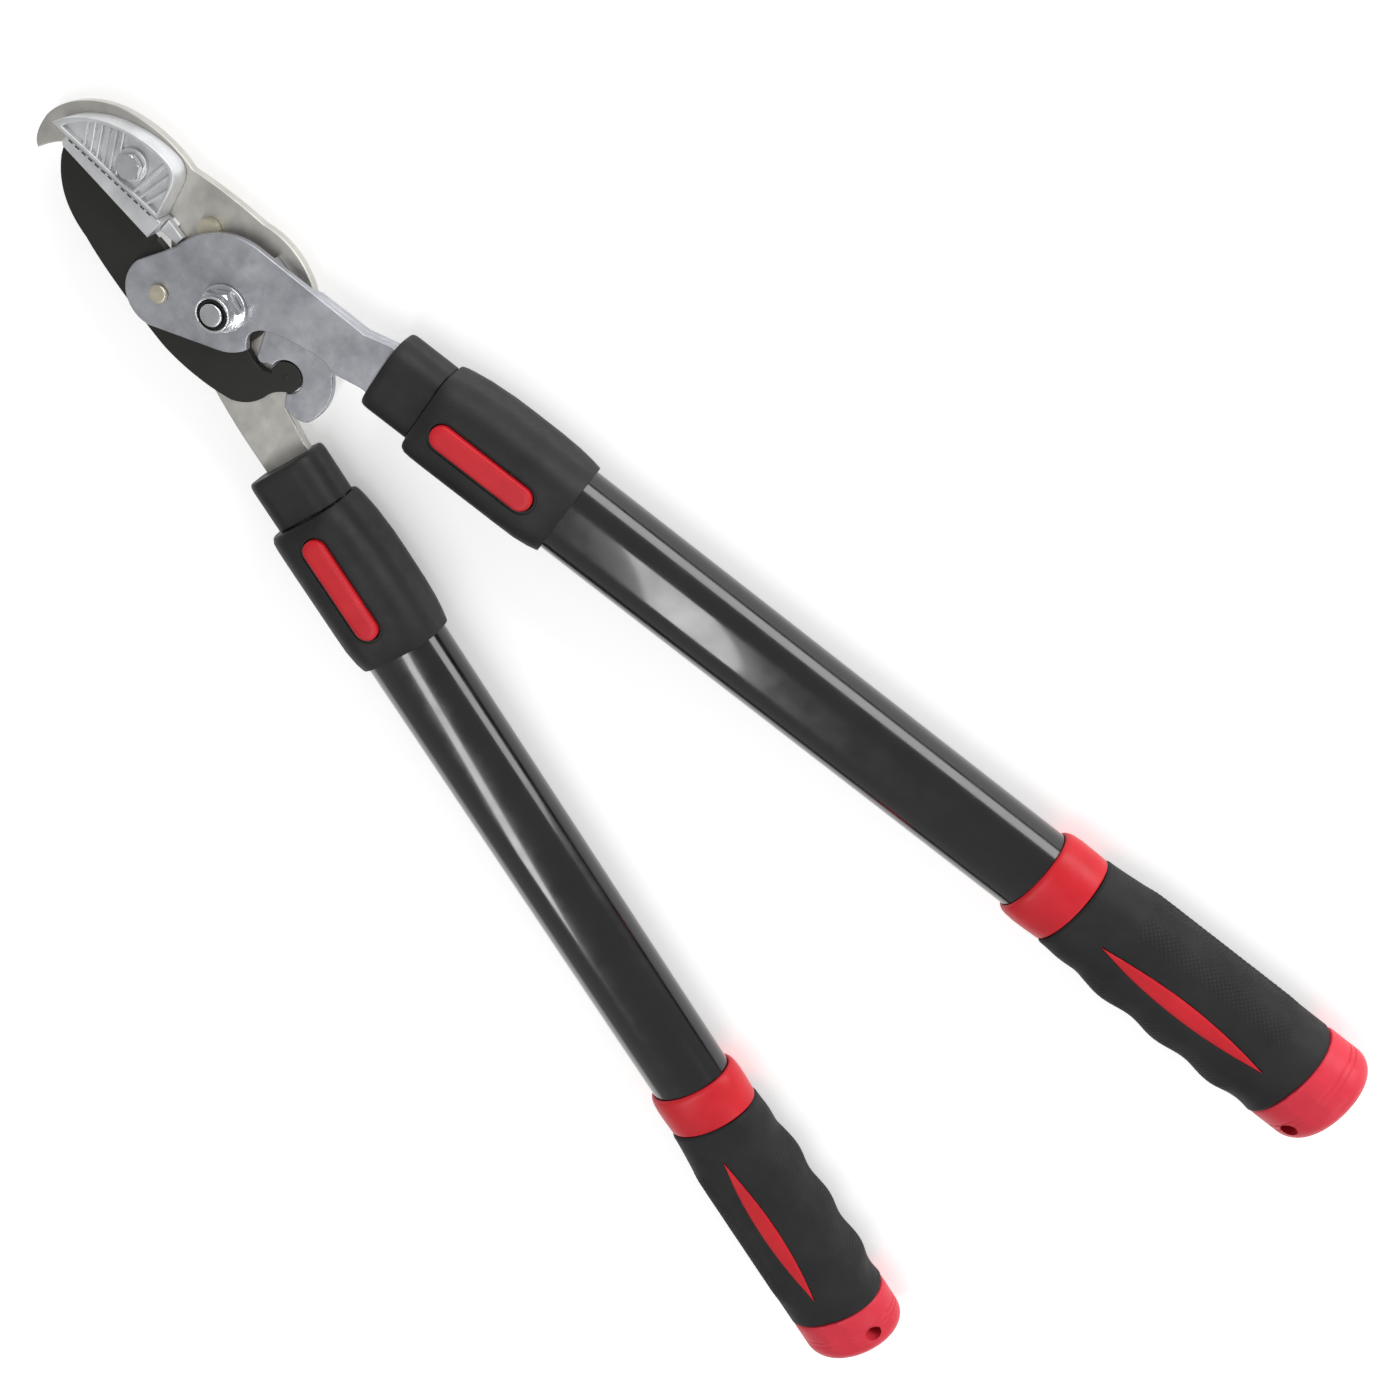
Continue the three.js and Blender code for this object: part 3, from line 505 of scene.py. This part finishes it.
def blade_outline():
    edge = CUT_X - GAP - 0.2
    out = Outline((edge, 94.5)).line((edge, CUT_LOW), (CUT_X - 1, CUT_LOW - 11)).arc(0, 0, EYE_R, 75, -115)
    out.bezier((-10.6, -22), (-10.2, -28.8)).arc(*KNUCKLE, KNUCKLE_R, 128, -140)
    out.bezier((-13, -38.4), (-17.5, -37.9)).bezier((-27, -36.5), (-32, -28.5))
    out.bezier((-37, -16), (-39, 0), (-38.2, 10)).bezier((-36, 32), (-33, 50), (-29.4, 62))
    return out.bezier((-27, 77), (-20, 88), (edge, 94.5)).points[:-1]


def holder_outline(inset):
    low = 44 + inset
    high = 100.5 - 2.4 * inset
    out = Outline((seam_x(low) + GAP + inset, low)).line((seam_x(high) + GAP + inset, high))
    out.bezier((13 - inset, 96 - inset), (20 - inset, 86), (24 - inset, 77))
    out.bezier((27.5 - inset, 69), (29 - inset, 61), (28.4 - inset, 55 + inset))
    return out.bezier((27.5 - inset, 49 + inset), (20, 47.4 + inset)).points


def make_blade():
    holes = [circle(0, 0, PIVOT_HOLE_R), circle(*BLADE_PIN, PIN_HOLE_R)]
    blade = plate("blade_body", blade_outline(), *LEVELS["blade"], holes, 0.35)
    edge = CUT_X - GAP
    wedges = []
    for side in (1, -1):
        section = [(edge + 1, 0.25), (edge + 1, 4), (edge - 9.2, 2.2), (edge, 0.25)]
        rows = [[(x, y, side * z) for x, z in section] for y in (CUT_LOW - 2, CUT_HIGH + 6)]
        wedge = grid("wedge", rows)
        wedge.data.transform(Matrix.Translation(PIVOT))
        wedges.append(wedge)
    blade = cut(blade, *wedges)
    finish_mesh(blade, "blade", "right_arm", "blade", 20)
    x, y = KNUCKLE
    dimple = plate("knuckle_dimple", circle(x, y, 1.1), 1.95, 2.25, (), 0.1)
    finish_mesh(dimple, "blade", "right_arm")


def make_plates():
    holes = [circle(0, 0, PIVOT_HOLE_R), circle(*BLADE_PIN, PIN_HOLE_R)]
    front = plate("front_plate_body", front_plate_outline(), *LEVELS["front_plate"], holes, 0.6)
    finish_mesh(front, "zinc", "right_arm", "front_plate")
    claw = plate("claw_plate_body", claw_outline(), *LEVELS["blade"], (), 0.6)
    finish_mesh(claw, "zinc", "right_arm", "claw_plate")
    holes = [circle(0, 0, PIVOT_HOLE_R), circle(*ANVIL_BOLT, PIN_HOLE_R)]
    carrier = plate("carrier_body", carrier_outline(), *LEVELS["carrier"], holes, 0.7)
    finish_mesh(carrier, "satin", "left_arm", "anvil_carrier")


def make_holder():
    """The cast anvil holder: rim, sunken pocket, fanned ribs and the boss under its bolt."""
    rim = 1.7
    floor = 6.4
    here = Matrix.Translation(PIVOT)
    bolt_hole = circle(*ANVIL_BOLT, PIN_HOLE_R)
    base = plate("holder_base", holder_outline(0.0), -2.0, floor, [bolt_hole], 0.3)
    finish_mesh(base, "cast", "left_arm", "anvil_holder")
    wall = plate("holder_rim", holder_outline(0.0), floor - 0.8, 9.5, [holder_outline(rim)], 0.45)
    finish_mesh(wall, "cast", "left_arm")
    boss = plate("holder_boss", circle(*ANVIL_BOLT, 7.0), floor - 0.5, 8.6, [bolt_hole], 0.4)
    finish_mesh(boss, "cast", "left_arm")
    inner = holder_outline(rim * 0.7)
    half = 0.62
    corners = ((-6, half), (34, half), (34, -half), (-6, -half))
    for number, (y, lean) in enumerate(RIBS):
        slope = math.tan(math.radians(lean))
        points = [(x, y + across + slope * (x - 14)) for x, across in corners]
        rib = prism(f"holder_rib_{number}", points, floor - 0.5, 8.5, here)
        pocket = prism("pocket", inner, floor - 1, 9.4, here)
        rib = trimmed(rib, pocket, f"holder_rib_{number}")
        finish_mesh(rounded(rib, 0.3, 30), "cast", "left_arm")


def make_strip():
    shape = [(CUT_X, CUT_LOW), (CUT_X, CUT_HIGH - 1), (CUT_X + 1, CUT_HIGH)]
    shape += [(SEAM_TOP - GAP, CUT_HIGH), (SEAM_LOW - GAP, CUT_LOW)]
    strip = plate("strip_body", shape, -6.5, 8.5, (), 0.45)
    finish_mesh(strip, "cast", "left_arm", "anvil_strip")
    tab = [(-0.4, CUT_LOW - GAP), (6, CUT_LOW - GAP), (5, CUT_LOW - 9.5), (1, CUT_LOW - 9.5)]
    finish_mesh(plate("tab_body", tab, -2.0, 1.9, (), 0.4), "cast", "left_arm", "strip_tab")
    # Painted shadow: short near-black dashes laid on the casting along the seam, standing in for the shade
    # that the step between the strip and its holder casts, broken up by the ribs.
    for i in range(13):
        y = CUT_LOW + 5 + i * 3.5
        x = seam_x(y)
        shadow_dash = [(x - 1.25, y), (x - 0.65, y), (x - 0.85, y + 2.1), (x - 1.45, y + 2.1)]
        finish_mesh(plate(f"seam_shadow_dash_{i}", shadow_dash, 8.3, 8.6, (), 0.1), "dark", "left_arm")


def hexagon(x, y, across, turn=0.0):
    r = across / math.sqrt(3)
    angles = [math.radians(60 * k + turn) for k in range(6)]
    return [(x + r * math.cos(a), y + r * math.sin(a)) for a in angles]


def chamfered_hex(name, x, y, across, back, front, node, hole=None, turn=0.0):
    """A hex head or nut whose corners are turned off at the front and the back."""
    here = Matrix.Translation(PIVOT)
    blank = prism("hex", hexagon(x, y, across, turn), back, front, here)
    reach = across / math.sqrt(3)
    chamfer = 1.1
    profile = [(back, reach * 0.9), (back + chamfer, reach * 1.02)]
    profile += [(front - chamfer, reach * 1.02), (front, reach * 0.9)]
    angles = [2 * math.pi * i / 64 for i in range(64)]
    rows = []
    for z, r in profile:
        rows.append([(x + r * math.cos(a), y + r * math.sin(a), z) for a in angles])
    cone = grid("cone", rows)
    cone.data.transform(here)
    obj = trimmed(blank, cone, name)
    if hole:
        obj = cut(obj, prism("bore", circle(x, y, hole), back - 5, front + 5, here))
    finish_mesh(rounded(obj, 0.25, 25), "bright", "left_arm", node, 25)


def make_fasteners():
    plate_front = LEVELS["front_plate"][1]
    carrier_back = LEVELS["carrier"][0]
    washer_back = plate_front + GAP
    washer_front = washer_back + WASHER["thick"]
    nut_back = washer_front + GAP
    nut_front = nut_back + NUT["thick"]
    collar_front = nut_front + NUT_COLLAR["height"]
    bolt_hole = circle(0, 0, PIVOT_HOLE_R)

    disc = circle(0, 0, WASHER["radius"], 72)
    washer = plate("washer_body", disc, washer_back, washer_front, [bolt_hole], 0.35)
    finish_mesh(washer, "bright", "left_arm", "pivot_washer")
    nut = ("nut_body", 0, 0, NUT["across"], nut_back, nut_front, "pivot_nut")
    chamfered_hex(*nut, PIVOT_HOLE_R, NUT["turn"])
    disc = circle(0, 0, NUT_COLLAR["radius"], 72)
    bore = circle(0, 0, NUT_COLLAR["bore"], 72)
    collar = plate("nut_collar", disc, nut_front - 0.5, collar_front, [bore], 0.5)
    finish_mesh(collar, "bright", "left_arm")
    disc = circle(0, 0, NYLON_RING["radius"], 72)
    bore = circle(0, 0, NYLON_RING["bore"])
    ring = plate("nylon_body", disc, nut_front + 0.6, collar_front - 0.5, [bore], 0.3)
    finish_mesh(ring, "nylon", "left_arm", "nut_ring")
    disc = circle(0, 0, PIVOT_BOLT["radius"], 72)
    shank = plate("bolt_shank", disc, PIVOT_BOLT["tail"], collar_front + 1.2, (), 0.7)
    finish_mesh(shank, "bright", "left_arm", "pivot_bolt")
    head_front = carrier_back - GAP
    head_back = head_front - PIVOT_BOLT["head"]
    chamfered_hex("bolt_head", 0, 0, PIVOT_BOLT["across"], head_back, head_front, None)

    disc = circle(*BLADE_PIN, PIN_HEAD["radius"])
    pin_front = plate_front + PIN_HEAD["height"]
    pin = plate("blade_pin_head", disc, plate_front + GAP, pin_front, (), 0.7)
    finish_mesh(pin, "brass", "right_arm", "blade_pin")

    x, y = ANVIL_BOLT
    chamfered_hex("anvil_bolt_head", x, y, ANVIL_HEX, 9.1, 12.5, "anvil_bolt", None, 18)
    stem = plate("anvil_bolt_stem", circle(x, y, 3.0), -13.8, 9.5, (), 0.3)
    finish_mesh(stem, "bright", "left_arm")
    nut = ("anvil_nut_body", x, y, ANVIL_HEX, carrier_back - 5, head_front, "anvil_nut")
    chamfered_hex(*nut, PIN_HOLE_R)
    paint_node("stop_pin", "brass")


def paint_node(node, mat):
    obj = frame["nodes"][node]
    obj.data.materials.clear()
    obj.data.materials.append(MAT[mat])


# ---- Handles ---------------------------------------------------------------------------------
def smoothstep(low, high, x):
    t = min(1.0, max(0.0, (x - low) / (high - low)))
    return t * t * (3 - 2 * t)


def grip_half(u, inner):
    """Half-width of the grip at u, on its wavy inner side or its plain outer side."""
    t = (u - GRIP["start"]) / (GRIP["end"] - GRIP["start"])
    if inner:
        wave = 1.05 * math.cos(2 * math.pi * (4 * t + 0.28)) * smoothstep(0, 0.2, t)
        return 24.3 + 1.3 * smoothstep(0, 0.25, t) + 1.3 * t - wave
    return 24.3 + 1.9 * smoothstep(0, 0.25, t) + 0.4 * t


def grip_thick(u):
    t = (u - GRIP["start"]) / (GRIP["end"] - GRIP["start"])
    return 18.3 + 1.5 * smoothstep(0, 0.3, t) + 0.1 * math.sin(math.pi * t)


def grip_point(side, u, a, proud=0.0):
    """A point on the grip's skin at angle a, where 0 is the outer side and 90 degrees the front."""
    cx = math.cos(a)
    sz = math.sin(a)
    half = grip_half(u, cx < 0) + proud
    thick = grip_thick(u) + proud
    power = 2 / 2.3
    x = half * math.copysign(abs(cx) ** power, cx)
    z = thick * math.copysign(abs(sz) ** power, sz)
    return (side * x, -u, z)


def knurl(u, a):
    """Height of the diamond knurl: a patch on the outer side and slanting ribs on the finger side."""
    arc = 22 * a
    pitch = 2.6
    one = abs(((u + arc) / pitch) % 1 - 0.5) * 2
    two = abs(((u - arc) / pitch) % 1 - 0.5) * 2
    off_outer = abs((math.degrees(a) + 180) % 360 - 180)
    off_inner = 180 - off_outer
    length = smoothstep(472, 480, u) * (1 - smoothstep(556, 566, u))
    diamonds = 0.55 * min(one, two) * (1 - smoothstep(56, 66, off_outer))
    groove = abs(((u + 0.35 * arc) / 2.1) % 1 - 0.5) * 2
    return length * (diamonds + 0.5 * groove * (1 - smoothstep(44, 56, off_inner)))


def make_grip(side, name, body):
    sides = 288
    stations = 300
    start, end = GRIP["start"], GRIP["end"]
    rows = [oval_ring(OUTER_TUBE_BORE, start, sides, side)]
    for k in range(stations + 1):
        u = start + (end - start) * k / stations
        lip = 0.8 * (1 - smoothstep(0, 1.2, min(u - start, end - u)))
        half = inlay_half(u)
        ring = []
        for i in range(sides):
            a = 2 * math.pi * i / sides
            x, y, z = grip_point(side, u, a, knurl(u, a) - lip)
            if half > 0 and abs(z) > 10:
                sunk = smoothstep(0.0, 0.5, half + 0.25 - abs(x))
                z -= math.copysign(0.9 * sunk, z)
            ring.append((x, y, z))
        rows.append(ring)
    rows.append(oval_ring(OUTER_TUBE_BORE, end, sides, side))
    obj = grid(f"{name}_grip_body", rows, True)
    obj.data.transform(handle_matrix(side))
    finish_mesh(obj, "rubber", body, f"{name}_grip", 60)


def inlay_half(u):
    t = (u - INLAY["start"]) / (INLAY["end"] - INLAY["start"])
    if t <= 0 or t >= 1:
        return 0.0
    return INLAY["half"] * 4 * t * (1 - t)


def surface_z(side, u, x):
    """Height of the grip's skin over a point near its middle line."""
    low, high = 0.2, math.pi - 0.2
    for _ in range(30):
        mid = (low + high) / 2
        if side * grip_point(side, u, mid)[0] > side * x:
            low = mid
        else:
            high = mid
    return grip_point(side, u, (low + high) / 2)[2]


def make_inlay(side, name, body, face):
    where = "front" if face > 0 else "back"
    along, across = 90, 12
    top, under = [], []
    for k in range(along + 1):
        t = 0.004 + 0.992 * k / along
        u = INLAY["start"] + (INLAY["end"] - INLAY["start"]) * t
        half = max(0.05, inlay_half(u) - 0.1)
        row_top, row_under = [], []
        for i in range(across + 1):
            s = 2 * i / across - 1
            z = surface_z(side, u, s * half) + 0.22 - 0.35 * s**6
            row_top.append((s * half, -u, face * z))
            row_under.append((s * half, -u, face * (surface_z(side, u, s * half) - 1.0)))
        top.append(row_top)
        under.append(row_under)
    rows = [one + two[::-1] for one, two in zip(top, under)]
    obj = grid(f"{name}_{where}_inlay_body", rows)
    obj.data.transform(handle_matrix(side))
    finish_mesh(obj, "red", body, f"{name}_inlay_{where}", 50)


def make_collar(side, name, body):
    start, end, half = COLLAR["start"], COLLAR["end"], COLLAR["half"]
    profile = [(start, OUTER_TUBE_BORE), (start, half - 1.8), (start + 0.5, half - 1.1)]
    profile += [(start + 1.6, half - 0.5), (start + 3.5, half), (start + 8, half + 0.35)]
    profile += [(start + 14, half + 0.3), (end - 4, half + 0.1), (end - 1.2, half)]
    profile += [(end - 0.3, half - 0.4), (end, half - 1.0), (end, OUTER_TUBE_BORE)]
    obj = turned(f"{name}_collar_body", profile, side, True)
    finish_mesh(obj, "red", body, f"{name}_grip_collar", 50)


def make_tube(side, name, body):
    start, end, half = OUTER_TUBE["start"], OUTER_TUBE["end"], OUTER_TUBE["half"]
    profile = [(start, half - 1.6), (start, half - 0.3), (start + 0.3, half)]
    steps = 24
    profile += [(start + 0.3 + (end - start - 0.6) * i / steps, half) for i in range(1, steps)]
    profile += [(end - 0.3, half), (end, half - 0.3), (end, half - 1.6)]
    obj = turned(f"{name}_outer_tube_body", profile, side, True)
    finish_mesh(obj, "enamel", body, f"{name}_outer_tube", 50)


def make_cap(side, name, body):
    start, end, half = CAP["start"], CAP["end"], CAP["half"]
    profile = [(start, 0), (start, half - 1.2), (start + 0.4, half - 0.5), (start + 1.5, half - 0.1)]
    profile += [(start + 4, half), (start + 9, half)]
    for groove in (11.0, 14.0):
        middle = start + groove
        profile += [(middle - 0.5, half), (middle, half - 0.45), (middle + 0.5, half)]
    rounding = 12
    for i in range(rounding + 1):
        a = i / rounding * math.pi / 2
        profile.append((end - 10 + 10 * math.sin(a), half - 10 + 10 * math.cos(a)))
    profile += [(end, 8.0), (end, 0)]
    rows = [(u, max(r, 0.01)) for u, r in profile]
    obj = turned(f"{name}_cap_body", rows, side)
    reach = CAP["half_thick"] * MM
    for vertex in obj.data.vertices:
        vertex.co.z = min(max(vertex.co.z, PIVOT.z - reach), PIVOT.z + reach)
    ring = circle(side * HANG_HOLE["v"], -HANG_HOLE["u"], HANG_HOLE["radius"], 40)
    obj = cut(obj, prism("hang", ring, -40, 40, handle_matrix(side)))
    obj = rounded(obj, 0.35, 50)
    finish_mesh(obj, "cap", body, f"{name}_end_cap", 40)


def sleeve(name, stations, side):
    """A rounded-box sleeve; a station is u, the reach to each side, the thickness and the corner."""
    rows = []
    for u, low, high, thick, corner in stations:
        middle = (high - low) / 2
        ring = rounded_section(low + high, thick, corner)
        rows.append([(x + middle, -u, z) for x, z in ring])
    obj = grid(name, rows)
    obj.data.transform(handle_matrix(side))
    return obj


def oval_bore(first, last, half, matrix):
    """The solid to take out for an oval bore along a handle."""
    bore = grid("bore", [oval_ring(half, u, 64) for u in (first, last)])
    bore.data.transform(matrix)
    return bore


def make_housing(side, name, body):
    start, end = HOUSING["start"], HOUSING["end"]
    w, t, c = HOUSING["width"] / 2, HOUSING["thick"], HOUSING["corner"]
    stations = [(start, w - 2, w - 4, t - 6, c - 2.5), (start + 0.5, w - 1.2, w - 3.7, t - 4.5, c - 2)]
    stations += [(start + 2.5, w - 0.3, w - 3.2, t - 2, c - 1), (start + 6, w, w - 2.4, t - 0.4, c)]
    stations += [(start + 14, w, w - 1.2, t, c), (start + 26, w, w - 0.2, t, c), (start + 36, w, w, t, c)]
    stations += [(end - 22, w, w, t, c), (end - 12, w, w - 0.3, t - 0.4, c)]
    stations += [(end - 5, w - 0.3, w - 0.6, t - 2.5, c)]
    stations += [(end - 1.2, w - 0.6, w - 0.75, t - 4.8, c), (end, w - 0.7, w - 0.8, t - 5.8, c)]
    shell = sleeve(f"{name}_housing_body", stations, side)
    matrix = handle_matrix(side)
    first, last, half = BUTTON["start"], BUTTON["end"], BUTTON["half"]
    slot = prism("slot", slot_ring(first - 0.6, last + 0.6, half + 0.5), 15.0, 30, matrix)
    dish = prism("dish", slot_ring(first - 1.9, last + 1.9, half + 1.8), 19.4, 30, matrix)
    inner = oval_bore(start - 5, end + 5, INNER_TUBE_BORE, matrix)
    outer = oval_bore(OUTER_TUBE["start"] - GAP, end + 5, OUTER_TUBE_BORE, matrix)
    shell = rounded(cut(shell, slot, dish, inner, outer), 0.35, 50)
    finish_mesh(shell, "plastic", body, f"{name}_lock_housing", 40)


def make_socket(side, name, body):
    start, end = SOCKET["start"], SOCKET["end"]
    w, t, c = SOCKET["width"] / 2, SOCKET["thick"], SOCKET["corner"]
    stations = [(start, w - 1.3, w - 1.3, t - 2, c - 1), (start + 0.5, w - 0.6, w - 0.6, t - 1, c - 0.5)]
    stations += [(start + 1.8, w - 0.1, w - 0.1, t - 0.2, c), (start + 4, w, w, t, c)]
    stations += [(end - 0.6, w, w, t, c), (end, w - 0.4, w - 0.4, t - 0.8, c)]
    shell = sleeve(f"{name}_socket_body", stations, side)
    matrix = handle_matrix(side)
    low, high = (-2.3, 6.6) if side > 0 else (-7.6, -2.0)
    slots = []
    spans = ((ARM_HALF + GAP, -SHOULDER - GAP, 20 - SHOULDER), (TANG_HALF + GAP, -76.0, 2 - SHOULDER))
    for half, deep, mouth in spans:
        ring = [(-half, deep), (half, deep), (half, mouth), (-half, mouth)]
        slots.append(prism("slot", ring, low, high, matrix))
    arm_slot, tang_slot = slots
    bore = oval_bore(72.7, end + 5, INNER_TUBE_BORE, matrix)
    shell = rounded(cut(shell, arm_slot, bore, tang_slot), 0.35, 50)
    finish_mesh(shell, "plastic", body, f"{name}_socket", 40)


def make_button(side, name, body):
    matrix = handle_matrix(side)
    bottom, top = BUTTON["bottom"], BUTTON["top"]
    profile = [(bottom, 0.3), (bottom + 0.3, 0.0), (top - 1.3, 0.0), (top - 0.8, 0.12)]
    profile += [(top - 0.4, 0.45), (top - 0.15, 1.0), (top - 0.02, 2.0), (top, 3.2)]
    start, end, half = BUTTON["start"], BUTTON["end"], BUTTON["half"]
    rows = []
    for z, inset in profile:
        ring = slot_ring(start + inset, end - inset, half - inset, 20)
        rows.append([(x, y, z) for x, y in ring])
    cap = grid(f"{name}_button_body", rows)
    cap.data.transform(matrix)
    finish_mesh(cap, "red", body, f"{name}_lock_button", 50)
    ring = circle(0, -LOCK_PEG["u"], LOCK_PEG["radius"], 32)
    peg = prism(f"{name}_button_peg", ring, LOCK_PEG["low"], LOCK_PEG["high"], matrix)
    finish_mesh(peg, "red", body)


def coil_spring(side, name, body):
    """The small compression spring under the button's rear end."""
    turns, steps = 4.5, 22
    total = int(turns * steps)
    radius, wire = SPRING["radius"], SPRING["wire"]
    around = [2 * math.pi * i / 8 for i in range(8)]
    up = Vector((0, 0, 1))
    rows = []
    for k in range(total + 1):
        a = 2 * math.pi * k / steps
        z = SPRING["low"] + SPRING["length"] * k / total
        centre = Vector((radius * math.cos(a), -SPRING["u"] + radius * math.sin(a), z))
        out = Vector((math.cos(a), math.sin(a), 0))
        rows.append([centre + wire * (out * math.cos(b) + up * math.sin(b)) for b in around])
    obj = grid(f"{name}_spring_body", rows)
    obj.data.transform(handle_matrix(side))
    finish_mesh(obj, "bright", body, f"{name}_lock_spring", 60)


def make_handle(side, name):
    arm, slide, lock = f"{name}_arm", f"{name}_grip_slide", f"{name}_lock"
    make_socket(side, name, arm)
    make_housing(side, name, slide)
    make_tube(side, name, slide)
    make_collar(side, name, slide)
    make_grip(side, name, slide)
    make_cap(side, name, slide)
    for face in (1, -1):
        make_inlay(side, name, slide, face)
    make_button(side, name, lock)
    coil_spring(side, name, slide)
    for piece, mat in (("inner_tube", "tube"), ("arm_insert", "plastic"), ("slide_plug", "plastic")):
        paint_node(f"{name}_{piece}", mat)
    paint_node(f"{name}_tang_rivet", "bright")
    paint_node(f"{name}_lock_pin", "plastic")


make_blade()
make_plates()
make_holder()
make_strip()
make_fasteners()
for handle_side, handle_name in ((-1, "left"), (1, "right")):
    make_handle(handle_side, handle_name)


# ---- Stage, light and camera -----------------------------------------------------------------
def make_stage():
    mesh = bpy.data.meshes.new("floor")
    work = bmesh.new()
    bmesh.ops.create_grid(work, x_segments=1, y_segments=1, size=6)
    work.to_mesh(mesh)
    work.free()
    floor = to_object("floor", mesh)
    floor.location.z = -0.0005
    mat, tree, shader = new_material("pale_floor", (0.93, 0.93, 0.93), 0.9)
    shader.inputs["Emission Color"].default_value = (1, 1, 1, 1)
    shader.inputs["Emission Strength"].default_value = 0.35
    color = ramp(tree, noise(tree, 2, 2), [(0.3, (0.92, 0.92, 0.92)), (0.7, (0.94, 0.94, 0.94))])
    tree.links.new(color, shader.inputs["Base Color"])
    mesh.materials.append(mat)


def area_light(name, place, target, size, power):
    light = bpy.data.lights.new(name, "AREA")
    light.shape = "RECTANGLE"
    light.size, light.size_y = size
    light.energy = power
    obj = to_object(name, light)
    obj.location = place
    obj.rotation_euler = (Vector(target) - Vector(place)).to_track_quat("-Z", "Y").to_euler()


def make_lights():
    world = bpy.data.worlds.new("studio")
    world.use_nodes = True
    background = world.node_tree.nodes["Background"]
    background.inputs["Color"].default_value = (1, 1, 1, 1)
    background.inputs["Strength"].default_value = 0.42
    bpy.context.scene.world = world
    area_light("rim", (1.6, 0.1, 0.6), (0, 0, 0.02), (2.2, 0.7), 24)
    area_light("key", (-0.4, -0.2, 1.5), (0, -0.1, 0.02), (0.16, 1.7), 8)
    area_light("fill", (0.3, -1.5, 1.0), (0, 0, 0.02), (1.0, 0.6), 4)


def make_camera():
    camera = bpy.data.cameras.new("camera")
    camera.sensor_width = 36
    camera.lens = 49.1
    camera.clip_start = 0.01
    obj = to_object("camera", camera)
    obj.location = PIVOT + Vector((0.423, -0.0938, 0.732))
    obj.rotation_euler = [math.radians(a) for a in (-26.824, 13.216, -42.55)]
    bpy.context.scene.camera = obj


make_stage()
make_lights()
make_camera()
bpy.context.scene.view_settings.view_transform = "Standard"
